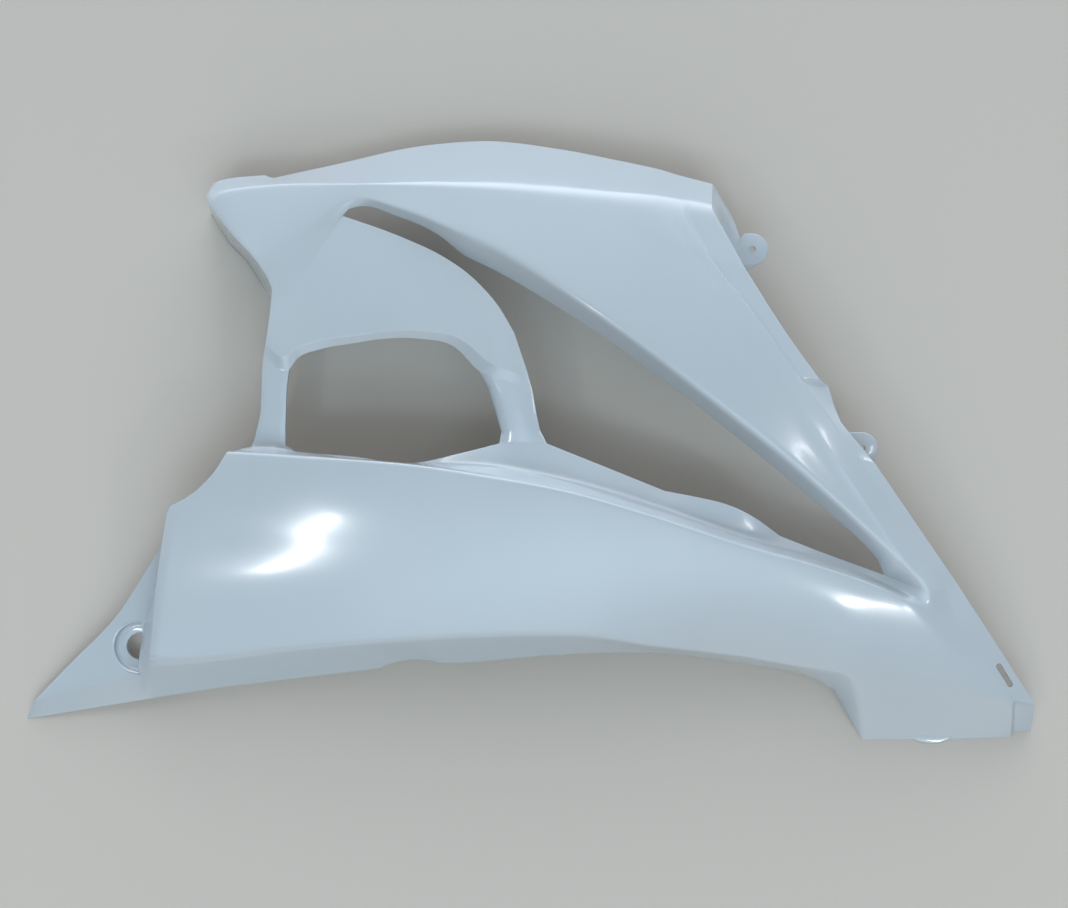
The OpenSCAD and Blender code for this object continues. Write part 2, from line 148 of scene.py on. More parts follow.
# Lines of the grid in millimetres, nearly as in the part's source: (station, x, y, height), with a
# fifth value of 1 at a corner. Stations run from the tail, -3, over the rear edge, 0, to the front
# edge, 26, and rows from the belly's edge, 0, to the top edge, 12. REAR_EDGE, the wing's lines and
# the front ones run across, so they start with a row instead.
BELLY_EDGE = [
    (-3, -459, -240, 0), (-1, -352, -221, 10), (0, -345, -220, 11), (1, -299, -212, 15),
    (3, -218, -201, 20), (4.8, -138, -191, 24, 1), (5.05, -127, -186, 27), (5.35, -114, -183, 29),
    (5.9, -95, -183, 29), (6.25, -82, -186, 27, 1), (7, -57, -185, 27), (9, 10, -179, 28),
    (12, 103, -177, 28), (15, 188, -187, 23), (17, 252, -202, 17), (17.6, 269, -212, 13, 1),
    (18.2, 297, -259, 0, 1), (20, 354, -259, 0), (22, 400, -258, 0), (24, 432, -257, 0)]
BELLY_CREASE = [
    (-3, -451, -223, 8), (-2, -403, -209, 17), (-1, -352, -195, 27), (0, -337, -182, 46, 1),
    (1, -296, -181, 48), (3, -217, -171, 56), (5, -142, -164, 63), (7, -68, -159, 68), (9, -3, -157, 69),
    (11, 57, -159, 67), (12, 92, -165, 62), (15, 180, -177, 50), (17, 240, -188, 45),
    (18.2, 288, -195, 44), (20, 336, -199, 41), (22, 385, -211, 35), (24, 424, -221, 30)]
SHOULDER = [
    (0, -262, 2, 81), (1, -210, -1, 87), (3, -160, -4, 92), (5, -100, -9, 96), (7, -37, -19, 98),
    (9, 19, -29, 99), (12, 98, -51, 96), (15, 170, -75, 90), (18, 244, -96, 81), (20, 295, -114, 73),
    (21, 312, -122, 70), (22, 328, -130, 67), (24, 366, -143, 57)]
LEDGE_ROOT = [
    (0, -251, 5, 68), (1, -214, 3, 65), (3, -162, -3, 68), (5, -101, -8, 72), (7, -37, -10, 75),
    (9, 21, -21, 75), (12, 102, -45, 72), (15, 176, -70, 68), (18, 250, -93, 63), (20, 300, -111, 61),
    (21, 316, -118, 60), (21.6, 325, -122, 62), (22, 331, -124, 66), (24, 361, -130, 60)]
LEDGE_EDGE = [
    (0, -241, 17, 62), (1, -215, 7, 63), (1.3, -206, 2, 63, 1), (3, -159, -2, 65), (5, -98, -7, 68),
    (6, -62, 1, 70), (7, -30, 9, 71, 1), (8, -11, 10, 74), (9, 11, 9, 72, 1), (10, 41, -3, 70),
    (12, 113, -32, 67, 1), (13.3, 149, -39, 68), (14, 165, -43, 69), (15, 189, -54, 66),
    (16, 213, -71, 61, 1), (18, 257, -88, 58), (20, 304, -105, 58, 1), (21, 320, -111, 59),
    (21.6, 328, -115, 62), (22, 333, -117, 67), (24, 356, -116, 63)]
WAIST_LOW = [
    (0, -237, 34, 65), (1, -215, 25, 66), (7, -28, 19, 70), (7.4, -24, 19, 74), (8, -11, 20, 76),
    (9, 5, 21, 74)]
WAIST = [
    (0, -235, 52, 66), (1, -214, 41, 68), (7, -33, 36, 70), (7.4, -29, 36, 75), (8, -16, 36, 78),
    (9, 2, 35, 76)]
WAIST_HIGH = [
    (0, -234, 70, 68), (1, -213, 58, 69), (7, -39, 56, 72), (7.4, -34, 54, 77), (8, -20, 50, 79),
    (9, 0, 46, 77)]
WINDOW_TOP = [
    (0, -233, 85, 69), (1, -211, 73, 69), (1.3, -204, 82, 70), (2, -184, 90, 71), (3, -156, 95, 73),
    (4, -128, 99, 74), (5, -100, 99, 75), (6, -70, 93, 75), (7, -47, 71, 74), (7.4, -40, 68, 79),
    (8, -25, 63, 80), (9, -2, 56, 78)]
WINDOW_CREST = [
    (0, -231, 94, 71), (1, -212, 84, 74), (1.3, -205, 90, 74), (2, -185, 97, 75), (3, -158, 101, 77),
    (4, -129, 104, 78), (5, -99, 105, 80), (6, -65, 99, 81), (7, -38, 78, 81), (7.4, -32, 75, 82),
    (8, -21, 71, 82), (9, -5, 68, 79)]
ARM_EDGE = [
    (0, -226, 132, 71.5), (1, -208, 141, 72.5), (2, -188, 171, 71.5), (3, -165, 205, 69, 1),
    (4, -136, 195, 71), (5, -108, 184, 72), (6, -81, 171, 75), (7, -56, 154, 77), (8, -33, 130, 78),
    (9, -17, 104, 78)]
VENT_EDGE = [
    (0, -228, 149, 71.5), (1, -214, 160, 72), (2, -190, 184, 71), (3, -160, 211, 69),
    (3.4, -148, 214, 67), (4.4, -120, 206, 66), (5.7, -84, 190, 66), (6.6, -61, 172, 64, 1),
    (9, -19, 151, 63), (12, 57, 103, 66), (15, 143, 40, 66), (18, 237, -36, 61), (19, 282, -74, 60),
    (19.5, 297, -90, 59), (20, 304, -105, 58)]
BLADE_CREASE = [
    (0, -241, 169, 71), (1, -223, 177, 71), (2, -193, 197, 71), (3, -158, 218, 72), (4.4, -115, 210, 78),
    (6, -65, 189, 84), (9, -12, 162, 90), (12, 62, 112, 95), (15, 149, 46, 96), (18, 241, -27, 87),
    (20, 313, -91, 73), (22, 330, -105, 70), (24, 346, -97, 68)]
TOP_CREASE = [
    (0, -284, 218, 52), (0.5, -272, 228, 54), (1, -247, 232, 58), (1.6, -224, 234, 61),
    (3, -163, 233, 69), (6, -89, 232, 75), (9, -29, 229, 78), (12, 22, 225, 79), (15, 65, 221, 79),
    (18, 95, 219, 79), (22, 116, 216, 78), (24, 127, 213, 78)]
TOP_EDGE = [
    (0, -284, 233, 44), (0.3, -280, 239, 42), (0.6, -269, 242, 42), (1.3, -236, 245, 43, 1),
    (1.6, -230, 242, 44, 1), (3, -175, 255, 39), (5, -118, 269, 35), (7, -79, 275, 32), (9, -39, 277, 32),
    (12, 23, 269, 36), (15, 71, 259, 40), (18, 106, 251, 43), (22, 128, 244, 46), (24, 138, 241, 48)]
REAR_EDGE = [
    (1, -337, -182, 46), (1.75, -322, -83, 67), (2, -315, -46, 71, 1), (2.33, -293, -34, 75),
    (2.66, -275, -17, 79), (3, -262, 2, 81, 1), (4, -251, 5, 68), (5, -241, 17, 62), (5.3, -236, 38, 65),
    (5.6, -235, 60, 67), (6, -233, 85, 69), (6.25, -231, 94, 71), (7, -226, 132, 71.5),
    (8, -228, 149, 71.5), (9, -241, 169, 71), (10, -258, 187, 65), (11, -284, 218, 52, 1),
    (11.5, -287, 226, 47), (12, -284, 233, 44)]
WING_EDGE = [
    (1, -451, -223, 8), (1.25, -416, -188, 14), (1.5, -370, -142, 24), (1.62, -352, -117, 32),
    (1.75, -325, -79, 49)]
WING_FOOT = [
    (1, -352, -195, 27), (1.12, -351, -179, 27), (1.25, -348, -163, 27), (1.38, -346, -148, 28),
    (1.5, -340, -133, 32), (1.62, -335, -112, 38), (1.75, -321, -77, 50)]
FLANGE_FOOT = [
    (7, -228, 134, 59), (8, -245, 151, 8), (9, -260, 174, 1), (10, -277, 192, 1), (11, -293, 219, 1)]
STRIP_LINE = [
    (9, 346, -97, 68), (9.85, 244, 39, 88), (10, 228, 59, 89), (10.5, 178, 129, 88),
    (10.65, 157, 155, 86), (10.8, 138, 180, 84), (10.9, 130, 194, 82), (10.97, 127, 205, 80),
    (11, 127, 213, 78)]
FRONT_EDGE = [
    (0, 450, -251, 0), (1, 445, -222, 27, 1), (2, 409, -172, 45), (3, 384, -137, 56, 1),
    (4, 376, -126, 59), (5, 368, -114, 61), (9, 358, -101, 65, 1), (9.55, 291, -8, 82, 1),
    (9.65, 269, 18, 83), (9.75, 262, 27, 82, 1), (9.88, 257, 41, 78), (10, 252, 58, 78, 1),
    (10.05, 243, 64, 84, 1), (10.4, 213, 106, 84), (10.75, 180, 159, 81, 1), (10.9, 161, 197, 76),
    (11, 152, 209, 76, 1), (12, 156, 236, 50)]
FRONT_FOLD = [
    (10.75, 181, 161, 50), (10.9, 165, 194, 50), (11, 162, 212, 61, 1), (12, 159, 233, 46)]
FRONT_FLANGE = [
    (10.75, 185, 167, 47), (10.9, 181, 195, 47), (11, 171, 213, 46, 1), (12, 162, 230, 42)]
ROWS = [
    (0, BELLY_EDGE), (1, BELLY_CREASE), (3, SHOULDER), (4, LEDGE_ROOT), (5, LEDGE_EDGE),
    (5.25, WAIST_LOW), (5.5, WAIST), (5.75, WAIST_HIGH), (6, WINDOW_TOP), (6.25, WINDOW_CREST),
    (7, ARM_EDGE), (8, VENT_EDGE), (9, BLADE_CREASE), (11, TOP_CREASE), (12, TOP_EDGE)]

# Lines of the grid that must be met exactly, and how finely each span between them is cut
U_MARKS = [-3, -1, 0, 1, 1.3, 2, 3, 4.8, 5.35, 5.9, 6.25, 7, 7.4, 8, 9, 10, 12, 13.3, 14, 15, 16, 17,
           17.6, 18.2, 19, 19.5, 20, 21, 21.6, 22, 24, 24.3, 24.6, 26, 26.5, 27]
U_STEP = 0.2
V_SPANS = [
    (0, 1, 10), (1, 1.75, 16), (1.75, 3, 22), (3, 4, 10), (4, 5, 8), (5, 5.25, 5), (5.25, 5.5, 4),
    (5.5, 5.75, 4), (5.75, 6, 5), (6, 6.25, 5), (6.25, 7, 14), (7, 8, 6), (8, 9, 10), (9, 9.55, 8),
    (9.55, 9.65, 4), (9.65, 9.75, 3), (9.75, 9.88, 5), (9.88, 10, 5), (10, 10.05, 2),
    (10.05, 10.75, 14), (10.75, 10.95, 5), (10.95, 11, 2), (11, 12, 14)]

# Folds of the skin that are rounded: row, points on each side, passes. The lowest stays sharp
# from the station LAST_SOFT on, in the joggle
FOLDS = [(1, 5, 6), (3, 5, 6), (4, 5, 8), (9, 6, 8), (11, 7, 14)]
LAST_SOFT = 23.5

# Stretches smoothed along the rows: stations, rows, passes. First where the wing meets the belly,
# then the end of the pocket beyond the vent's tip
BLENDS = [(-1, 1, 0, 0.9, 10), (20.4, 24, 3.1, 5, 8), (20.4, 24, 8.01, 9.5, 8)]


def limit(a):
    return min(1.0, max(0.0, a))


def slope(table, i):
    a, b = table[i], table[i + 1]
    return (Vector(b[1:4]) - Vector(a[1:4])) / (b[0] - a[0])


def bend(table, i, side):
    """Direction of a line at one of its points; at a corner, before (side 0) or after it (side 1)."""
    if i == 0:
        return slope(table, 0)
    if i == len(table) - 1:
        return slope(table, i - 1)
    if len(table[i]) > 4:
        return slope(table, i - 1 + side)
    a = table[i][0] - table[i - 1][0]
    b = table[i + 1][0] - table[i][0]
    return (slope(table, i - 1) * b + slope(table, i) * a) / (a + b)


def at(table, s):
    """Point of a smooth line at a station, straight up to a marked corner."""
    i = 0
    while i < len(table) - 2 and s > table[i + 1][0]:
        i += 1
    h = table[i + 1][0] - table[i][0]
    q = limit((s - table[i][0]) / h)
    a = Vector(table[i][1:4])
    b = Vector(table[i + 1][1:4])
    return (a * ((1 + 2 * q) * (1 - q) ** 2) + b * (q * q * (3 - 2 * q))
            + bend(table, i, 1) * (h * q * (1 - q) ** 2) - bend(table, i + 1, 0) * (h * q * q * (1 - q)))


def crown(p):
    """Height of the crown, the bulged face that the broad faces follow."""
    x, y = p[0] - CROWN_MIDDLE, p[1] - CROWN_MIDDLE
    return CROWN_TOP - x ** 2 / CROWN_FLAT[0] - y ** 2 / CROWN_FLAT[1]


def between(a, b, q, power):
    """Point of the skin between two rows; the broad faces bulge to meet the crown."""
    m = a.lerp(b, q)
    drop = (crown(a) - a[2]) * (1 - q) ** power + (crown(b) - b[2]) * q ** power
    return Vector((m[0], m[1], crown(m) - drop))


def base(u, v):
    """Point of the net between its rows, before the ends are fitted."""
    i = 0
    while i < len(ROWS) - 2 and v > ROWS[i + 1][0]:
        i += 1
    row, table = ROWS[i]
    if row == 8 and u > 20:
        table = LEDGE_EDGE
    span = ROWS[i + 1][0] - row
    return between(at(table, u), at(ROWS[i + 1][1], u), (v - row) / span, BULGE if span > 1 else 1)


def inner_field(u, v):
    """The net with its rear end drawn to the rear edge and its upper front to the strip's line."""
    p = base(u, v)
    if v >= 1:
        share = limit(1 - u / (SLANT_LOW if v < 3 else SLANT_HIGH)) ** 2
        p = p + (at(REAR_EDGE, v) - base(0, v)) * share
    if 9 < v < 11:
        p = p + (at(STRIP_LINE, v) - base(24, v)) * limit((u - 15) / 9)
    return p


def front_field(u, v):
    """Front end of the net, with the joggle and the strip set in below a narrow step."""
    s = (u - 24) / 2
    if v < JOGGLE_END[0]:
        jog = Vector((0, JOGGLE_DEPTH * limit((JOGGLE_END[0] - v) / JOGGLE_END[1]), 0))
    else:
        fade_in = limit((v - STRIP_START[0]) / STRIP_START[1])
        fade_out = limit((STRIP_END[0] - v) / STRIP_END[1])
        jog = Vector((0, 0, -STRIP_DEPTH * fade_in * fade_out))
    return inner_field(24, v) * (1 - s) + (at(FRONT_EDGE, v) - jog) * s + jog * limit(s / STEP_WIDTH)


def flange_field(u, v):
    """Flange below the front strip, with a fold half way."""
    if u < 26.5:
        return at(FRONT_EDGE, v) * (53 - 2 * u) + at(FRONT_FOLD, v) * (2 * u - 52)
    return at(FRONT_FOLD, v) * (54 - 2 * u) + at(FRONT_FLANGE, v) * (2 * u - 53)


def wing_field(u, v):
    """Rear wing, from its tail to the foot of the belly's rear wall."""
    s = (u + 3) / 2
    rise = at(BELLY_CREASE, u) - at(WING_EDGE, 1) * (1 - s) - at(WING_FOOT, 1) * s
    return at(WING_EDGE, v) * (1 - s) + at(WING_FOOT, v) * s + rise * (1 - limit((v - 1) / 0.75))


def rear_field(u, v):
    """Behind the rear edge: tucked band, nose flange, wing, and the belly's rear wall."""
    if v <= 1:
        return base(u, v)
    if v > 6:
        return at(FLANGE_FOOT, v) * -u + at(REAR_EDGE, v) * (1 + u)
    if u <= -1:
        return wing_field(u, v)
    return at(WING_FOOT, v) * -u + at(REAR_EDGE, v) * (1 + u)


def skin(u, v):
    """Point of the outer skin in metres, in the row frame."""
    if u >= 20 and 5 < v <= 8:
        v = 5
    field = rear_field if u < 0 else flange_field if u > 26 else front_field if u > 24 else inner_field
    p = field(u, v)
    return Vector(((p[0] + MIDDLE[0]) * MM, (p[1] + MIDDLE[1]) * MM, p[2] * MM))


def stations():
    """Stations and rows of the grid; the rows crowd towards both ends of each span."""
    us = [U_MARKS[0]]
    for a, b in zip(U_MARKS, U_MARKS[1:]):
        n = max(1, math.ceil((b - a) / U_STEP - 1e-6))
        us += [a + (b - a) * (k + 1) / n for k in range(n)]
    vs = [0]
    for a, b, n in V_SPANS:
        vs += [a + (b - a) * (1 - math.cos(math.pi * (k + 1) / n)) / 2 for k in range(n - 1)] + [b]
    return us, vs


US, VS = stations()
J_LOW = VS.index(5)
J_HIGH = VS.index(8)


def row_index(i, j):
    """Beyond the vent's tip the rows of its two edges are one row."""
    return J_LOW if US[i] >= 20 and J_LOW <= j <= J_HIGH else j


def live(i, j):
    """True where the grid holds material: not in the window, the vent or behind the rear edge."""
    if i < 0 or j < 0 or i >= len(US) - 1 or j >= len(VS) - 1:
        return False
    u0, u1, v0, v1 = US[i], US[i + 1], VS[j], VS[j + 1]
    if u1 <= -1:
        return v1 <= 1.75
    if u1 <= 0:
        return v1 <= 1.75 or (v0 >= 7 and v1 <= 11)
    if u0 >= 26:
        return v0 >= 10.75
    if v1 <= 5:
        return True
    if v1 <= 6:
        return u1 <= 1 or (u0 >= 7 and u1 <= 9)
    if v1 <= 7:
        return u1 <= 9
    if v1 <= 8:
        return u1 <= 3
    return True


def step_row(i, j, way):
    """Row index next to a row, stepping over the merged rows beyond the vent's tip."""
    if US[i] >= 20 and way > 0 and j == J_LOW:
        return J_HIGH + 1
    if US[i] >= 20 and way < 0 and j == J_HIGH + 1:
        return J_LOW
    return j + way


def smooth(line, passes):
    """Averages each point of a line with its neighbours, its two ends apart."""
    for _ in range(passes):
        line = [line[0]] + [a * 0.25 + b * 0.5 + c * 0.25
                            for a, b, c in zip(line, line[1:], line[2:])] + [line[-1]]
    return line


def soften(points, row, reach, passes):
    """Rounds a fold of the skin by averaging each column of points close to it."""
    j0 = VS.index(row)
    for i in range(len(US)):
        if row == 1 and US[i] > LAST_SOFT:
            continue
        rows = [row_index(i, j0)]
        for way in (-1, 1):
            j = rows[-1] if way > 0 else rows[0]
            for _ in range(reach):
                k = step_row(i, j, way)
                if (i, k) not in points or not joined(i, j, k):
                    break
                rows = rows + [k] if way > 0 else [k] + rows
                j = k
        if len(rows) < 5:
            continue
        for j, p in zip(rows, smooth([points[(i, j)] for j in rows], passes)):
            points[(i, j)] = p


def blend(points, u0, u1, v0, v1, passes):
    """Smooths the skin along its rows between two stations."""
    columns = [i for i, u in enumerate(US) if u0 <= u <= u1]
    for j, v in enumerate(VS):
        if v < v0 or v > v1 or (columns[0], j) not in points:
            continue
        for i, p in zip(columns, smooth([points[(i, j)] for i in columns], passes)):
            points[(i, j)] = p


def joined(i, j, k):
    """True if the skin runs from row j to row k at column i."""
    low = min(j, k)
    if low == J_LOW and max(j, k) == J_HIGH + 1:
        low = J_HIGH
    return live(i, low) or live(i - 1, low)


def skin_mesh():
    """Shell: the outer skin, the same skin offset inwards by the wall, and the rims between them."""
    faces = []
    for i in range(len(US) - 1):
        for j in range(len(VS) - 1):
            if live(i, j):
                corners = ((i, j), (i + 1, j), (i + 1, j + 1), (i, j + 1))
                faces.append([(a, row_index(a, b)) for a, b in corners])
    points = {key: skin(US[key[0]], VS[key[1]]) for face in faces for key in face}
    for span in BLENDS:
        blend(points, *span)
    for row, reach, passes in FOLDS:
        soften(points, row, reach, passes)
    facing = [(points[c] - points[a]).cross(points[d] - points[b]).normalized()
              for a, b, c, d in faces]
    around = {key: [] for key in points}
    edges = {}
    for face, normal in zip(faces, facing):
        for k, key in enumerate(face):
            around[key].append(normal)
            edges[(key, face[(k + 1) % 4])] = True
    inner = {}
    for key, normals in around.items():
        n = sum(normals, Vector()).normalized()
        mitre = max(MITRE, min(f.dot(n) for f in normals))
        p = points[key] - n * (WALL * MM / mitre)
        inner[key] = Vector((p[0], p[1], max(p[2], 0.0)))
    order = {key: n for n, key in enumerate(points)}
    count = len(order)
    polygons = [[order[key] for key in face] for face in faces]
    polygons += [[order[key] + count for key in reversed(face)] for face in faces]
    polygons += [[order[b], order[a], order[a] + count, order[b] + count]
                 for a, b in edges if (b, a) not in edges]
    mesh = bpy.data.meshes.new("moulding")
    mesh.from_pydata([points[key] for key in order] + [inner[key] for key in order], [], polygons)
    return mesh


def new_object(name, mesh):
    obj = bpy.data.objects.new(name, mesh)
    bpy.context.scene.collection.objects.link(obj)
    return obj


def settle(obj):
    """Applies the modifiers of an object to its mesh."""
    graph = bpy.context.evaluated_depsgraph_get()
    mesh = bpy.data.meshes.new_from_object(obj.evaluated_get(graph))
    obj.modifiers.clear()
    obj.data = mesh


def solid(name, outline, z0, z1, bevel=0.0):
    """Upright solid over an outline of points in millimetres, with rounded rims."""
    n = len(outline)
    verts = [((x + MIDDLE[0]) * MM, (y + MIDDLE[1]) * MM, z * MM) for z in (z0, z1) for x, y in outline]
    faces = [list(range(n))[::-1], list(range(n, 2 * n))]
    faces += [[k, (k + 1) % n, n + (k + 1) % n, n + k] for k in range(n)]
    mesh = bpy.data.meshes.new(name)
    mesh.from_pydata(verts, [], faces)
    obj = new_object(name, mesh)
    if bevel:
        rim = obj.modifiers.new("rim", "BEVEL")
        rim.width = bevel * MM
        rim.segments = 3
        rim.limit_method = "ANGLE"
        settle(obj)
    return obj


def round_outline(x, y, r, n=64):
    return [(x + r * math.cos(2 * math.pi * k / n), y + r * math.sin(2 * math.pi * k / n))
            for k in range(n)]


def box_outline(x, y, turn, x0, x1, y0, y1):
    """Corners of a box turned about a point, counter-clockwise."""
    c, s = math.cos(math.radians(turn)), math.sin(math.radians(turn))
    return [(x + c * a - s * b, y + s * a + c * b) for a, b in ((x0, y0), (x1, y0), (x1, y1), (x0, y1))]


def slot_outline(x, y, turn, length, width, n=12):
    c, s = math.cos(math.radians(turn)), math.sin(math.radians(turn))
    half = (length - width) / 2
    points = []
    for end, start in ((half, -90), (-half, 90)):
        for k in range(n + 1):
            a = math.radians(start + 180 * k / n)
            p, q = end + width / 2 * math.cos(a), width / 2 * math.sin(a)
            points.append((x + c * p - s * q, y + s * p + c * q))
    return points


def combine(target, tool, kind):
    """Joins a solid to the target or cuts it out, and removes the tool."""
    step = target.modifiers.new(kind, "BOOLEAN")
    step.object = tool
    step.operation = kind
    step.solver = "EXACT"
    settle(target)
    bpy.data.objects.remove(tool)


def seat_ring(n=96):
    """Ring round the bolt hole: a flat floor, a rounded groove and a rim that leans with the wing."""
    x, y, z = SEAT
    # (radius, height) from the outside in; the rim's heights count from the wing
    rim = [(SEAT_R + WALL, 0), (SEAT_R + 1.4, 0), (SEAT_R + 0.6, -0.3), (SEAT_R, -1)]
    groove = [(SEAT_R - 0.2 - GROOVE * (1 - math.cos(a)), z + 0.75 * GROOVE * (1 - math.sin(a)))
              for a in [math.pi / 2 * k / 8 for k in range(9)]]
    bolt = [(BOLT_R + 0.7, z), (BOLT_R + 0.2, z - 0.2), (BOLT_R, z - 0.7), (BOLT_R, z - SEAT_T)]
    verts = []
    for k in range(n):
        c, s = math.cos(2 * math.pi * k / n), math.sin(2 * math.pi * k / n)
        profile = [(SEAT_R + WALL, z - SEAT_T)]
        profile += [(r, WING_Z + WING_LEAN[0] * r * c + WING_LEAN[1] * r * s + drop)
                    for r, drop in rim]
        profile += groove + bolt
        verts += [((x + r * c + MIDDLE[0]) * MM, (y + r * s + MIDDLE[1]) * MM, h * MM)
                  for r, h in profile]
    m = len(verts) // n
    faces = [[k * m + a, (k + 1) % n * m + a, (k + 1) % n * m + (a + 1) % m, k * m + (a + 1) % m]
             for k in range(n) for a in range(m)]
    mesh = bpy.data.meshes.new("seat")
    mesh.from_pydata(verts, [], faces)
    return new_object("seat", mesh)


def fairing():
    """The moulding with its rims rounded, and its seat, ears, tab, holes and slot."""
    panel = new_object("fairing_moulding", skin_mesh())
    rim = panel.modifiers.new("rim", "BEVEL")
    rim.width = RIM_ROUND * MM
    rim.segments = 2
    rim.limit_method = "ANGLE"
    rim.angle_limit = math.radians(RIM_ANGLE)
    rim.use_clamp_overlap = True
    settle(panel)
    for vert in panel.data.vertices:
        vert.co.z = max(vert.co.z, 0.0)
    x, y, z = SEAT
    combine(panel, solid("recess", round_outline(x, y, SEAT_R + 2), z - 6, z + 10), "DIFFERENCE")
    combine(panel, seat_ring(), "UNION")
    x, y, top = EDGE_POST
    post = box_outline(x, y, POST_TURN, 0, POST_T, 0, POST_W)
    combine(panel, solid("post", post, EDGE_EAR[2] - EAR_T, top), "UNION")
    for (x, y, z), web in ((FLANGE_EAR, FLANGE_WEB), (EDGE_EAR, EDGE_WEB)):
        combine(panel, solid("ear", ear_outline(x, y, web), z - EAR_T, z, EAR_ROUND), "UNION")
        combine(panel, solid("screw", round_outline(x, y, EAR_HOLE_R, 32), z - 8, z + 3), "DIFFERENCE")
    x, y = FOOT_HOLE
    combine(panel, solid("tab", tab_outline(x, FOOT_EDGE), 0, FOOT_T, TAB_ROUND), "UNION")
    combine(panel, solid("screw", round_outline(x, y, EAR_HOLE_R, 32), -1, FOOT_T + 1), "DIFFERENCE")
    combine(panel, solid("slot", slot_outline(*SLOT), *SLOT_CUT), "DIFFERENCE")
    panel.data.shade_smooth()
    panel.data.set_sharp_from_angle(angle=math.radians(EDGE_ANGLE))
    return panel


def ear_outline(x, y, web):
    """Outline around the round ear and its web: the outer hull of both."""
    points = sorted(set(round_outline(0, 0, EAR_R, 48) + web))
    outline = []
    for way in (1, -1):
        side = []
        for p in points[::way]:
            while len(side) > 1 and ((side[-1][0] - side[-2][0]) * (p[1] - side[-2][1])
                                     <= (side[-1][1] - side[-2][1]) * (p[0] - side[-2][0])):
                side.pop()
            side.append(p)
        outline += side[:-1]
    return [(x + a, y + b) for a, b in outline]


def tab_outline(x, y, n=40):
    """Flat tab with a wide round end, from that end inwards."""
    turn = math.acos(1 - FOOT_DEPTH / FOOT_R)
    return [(x + FOOT_R * math.sin(a), y + FOOT_R - FOOT_R * math.cos(a))
            for a in [-turn + 2 * turn * k / n for k in range(n + 1)]]


def white_plastic():
    """Glossy unpainted moulding: cloudy tint, painted shade in nooks, specks, rubbed edges that also
    carry a painted highlight, slow sink waves and fine orange peel."""
    material = bpy.data.materials.new("white_plastic")
    material.use_nodes = True
    nodes = material.node_tree.nodes
    links = material.node_tree.links
    shader = nodes["Principled BSDF"]
    shader.inputs["IOR"].default_value = 1.5
    shader.inputs["Coat Weight"].default_value = 0.6
    shader.inputs["Coat Roughness"].default_value = 0.1
    place = nodes.new("ShaderNodeTexCoord")

    def noise(scale, detail, rough=0.5):
        n = nodes.new("ShaderNodeTexNoise")
        n.inputs["Scale"].default_value = scale
        n.inputs["Detail"].default_value = detail
        n.inputs["Roughness"].default_value = rough
        links.new(place.outputs["Object"], n.inputs["Vector"])
        return n.outputs["Fac"]

    def ramp(value, low, high, a, b):
        r = nodes.new("ShaderNodeMapRange")
        r.inputs["From Min"].default_value = low
        r.inputs["From Max"].default_value = high
        r.inputs["To Min"].default_value = a
        r.inputs["To Max"].default_value = b
        links.new(value, r.inputs["Value"])
        return r.outputs["Result"]

    def mix(factor, a, b):
        m = nodes.new("ShaderNodeMix")
        m.data_type = "RGBA"
        links.new(factor, m.inputs["Factor"])
        for socket, value in ((m.inputs["A"], a), (m.inputs["B"], b)):
            if isinstance(value, tuple):
                socket.default_value = value
            else:
                links.new(value, socket)
        return m.outputs["Result"]

    cloud = ramp(noise(7, 3), 0.35, 0.65, 0, 1)
    tint = mix(cloud, TINT_LOW, TINT_HIGH)
    specks = ramp(noise(420, 2, 0.6), 0.74, 0.80, 0, 0.25)
    # Painted shade: where ambient occlusion finds a nook or crease close by, the colour darkens towards a
    # grey, as shade falls there
    shade = nodes.new("ShaderNodeAmbientOcclusion")
    shade.inputs["Distance"].default_value = NOOK_REACH
    nook_shade = ramp(shade.outputs["AO"], 0.4, 0.92, 0.6, 0)
    # Less painted shade at the bolt seat than in the other nooks
    away = nodes.new("ShaderNodeVectorMath")
    away.operation = "DISTANCE"
    links.new(place.outputs["Object"], away.inputs[0])
    away.inputs[1].default_value = [(a + b) * MM for a, b in zip(SEAT, (*MIDDLE, 0))]
    painted_nook_shade = nodes.new("ShaderNodeMath")
    painted_nook_shade.operation = "MULTIPLY"
    links.new(nook_shade, painted_nook_shade.inputs[0])
    links.new(ramp(away.outputs["Value"], 0.022, 0.03, 0.3, 1), painted_nook_shade.inputs[1])
    shaded_and_specked = mix(specks, mix(painted_nook_shade.outputs["Value"], tint, NOOK_SHADE), SPECK)
    # Rubbed edges: sharp rims turn lighter, partly as wear and partly as a painted highlight of light
    # caught on rounded edges
    edge = nodes.new("ShaderNodeNewGeometry").outputs["Pointiness"]
    worn_and_lit = ramp(edge, 0.54, 0.62, 0, 0.3)
    links.new(mix(worn_and_lit, shaded_and_specked, RUBBED_AND_LIT), shader.inputs["Base Color"])
    links.new(ramp(noise(18, 4, 0.6), 0.3, 0.7, 0.15, 0.21), shader.inputs["Roughness"])

    def bump(height, distance, strength, under=None):
        b = nodes.new("ShaderNodeBump")
        b.inputs["Distance"].default_value = distance
        b.inputs["Strength"].default_value = strength
        links.new(height, b.inputs["Height"])
        if under:
            links.new(under, b.inputs["Normal"])
        return b.outputs["Normal"]

    waves = bump(noise(9, 2), 0.003, 0.12)
    peel = bump(noise(650, 2), 0.0002, 0.12, waves)
    links.new(peel, shader.inputs["Normal"])
    return material


